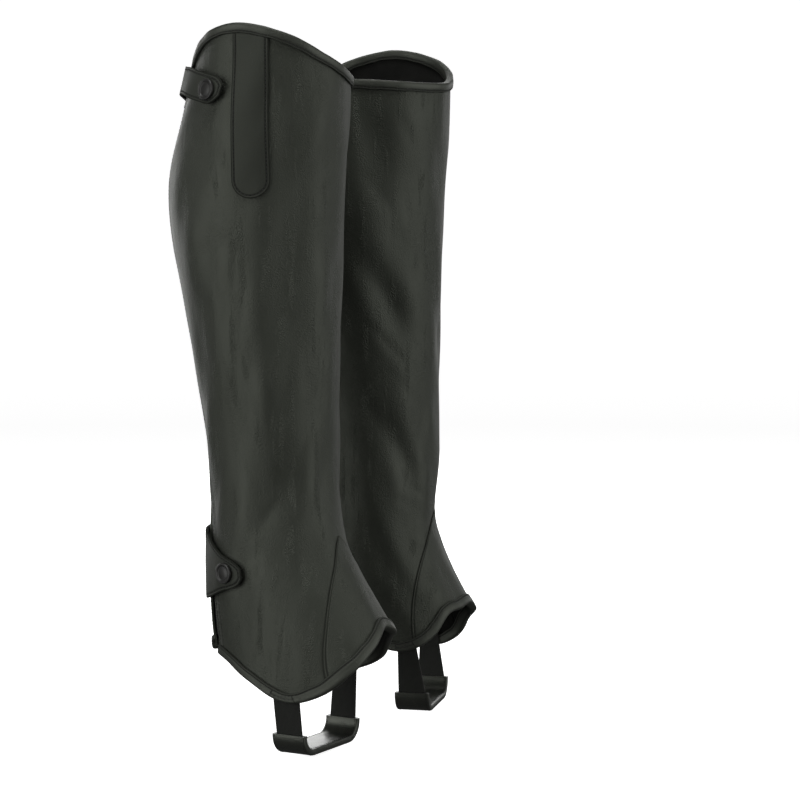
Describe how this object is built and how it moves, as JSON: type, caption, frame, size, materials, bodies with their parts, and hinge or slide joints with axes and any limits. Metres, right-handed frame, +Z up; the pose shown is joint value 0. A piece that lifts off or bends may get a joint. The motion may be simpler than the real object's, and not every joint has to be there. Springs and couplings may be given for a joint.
{
  "type": "pair of half chaps",
  "caption": "Pair of long leather half chaps with a raised outer side, back zip, snap tabs and elastic foot straps, held open as worn.",
  "frame": {"origin": "on the right leg's upright line, at the level of the widest part of the calf, 405 mm above the ground the wearer stands on", "axes": "+Z up along the leg, the wearer faces -Y, and the left leg is towards +X"},
  "size_m": [0.2772, 0.1813, 0.539],
  "materials": {
    "leather": "soft grained, low sheen",
    "binding_leather": "smooth, low sheen",
    "zip_tape": "woven, matt",
    "zip_teeth": "moulded coil",
    "elastic": "ribbed elastic webbing",
    "dark_metal": "black, satin"
  },
  "bodies": {
    "root": {"right_body_panel": "leather", "right_instep_gusset": "leather", "right_top_binding": "binding_leather", "right_hem_binding": "binding_leather", "right_side_patch": "leather", "right_zip_tape_outer": "zip_tape", "right_zip_tape_inner": "zip_tape", "right_zip_chain": "zip_teeth", "right_zip_slider": "dark_metal", "right_zip_pull": "dark_metal", "right_top_tab": "leather", "right_top_snap_stud": "dark_metal", "right_top_snap_cap": "dark_metal", "right_bottom_tab": "leather", "right_bottom_snap_stud": "dark_metal", "right_bottom_snap_cap": "dark_metal", "right_foot_strap": "elastic", "right_strap_guard": "leather", "left_body_panel": "leather", "left_instep_gusset": "leather", "left_top_binding": "binding_leather", "left_hem_binding": "binding_leather", "left_side_patch": "leather", "left_zip_tape_outer": "zip_tape", "left_zip_tape_inner": "zip_tape", "left_zip_chain": "zip_teeth", "left_zip_slider": "dark_metal", "left_zip_pull": "dark_metal", "left_top_tab": "leather", "left_top_snap_stud": "dark_metal", "left_top_snap_cap": "dark_metal", "left_bottom_tab": "leather", "left_bottom_snap_stud": "dark_metal", "left_bottom_snap_cap": "dark_metal", "left_foot_strap": "elastic", "left_strap_guard": "leather"}
  },
  "joints": []
}
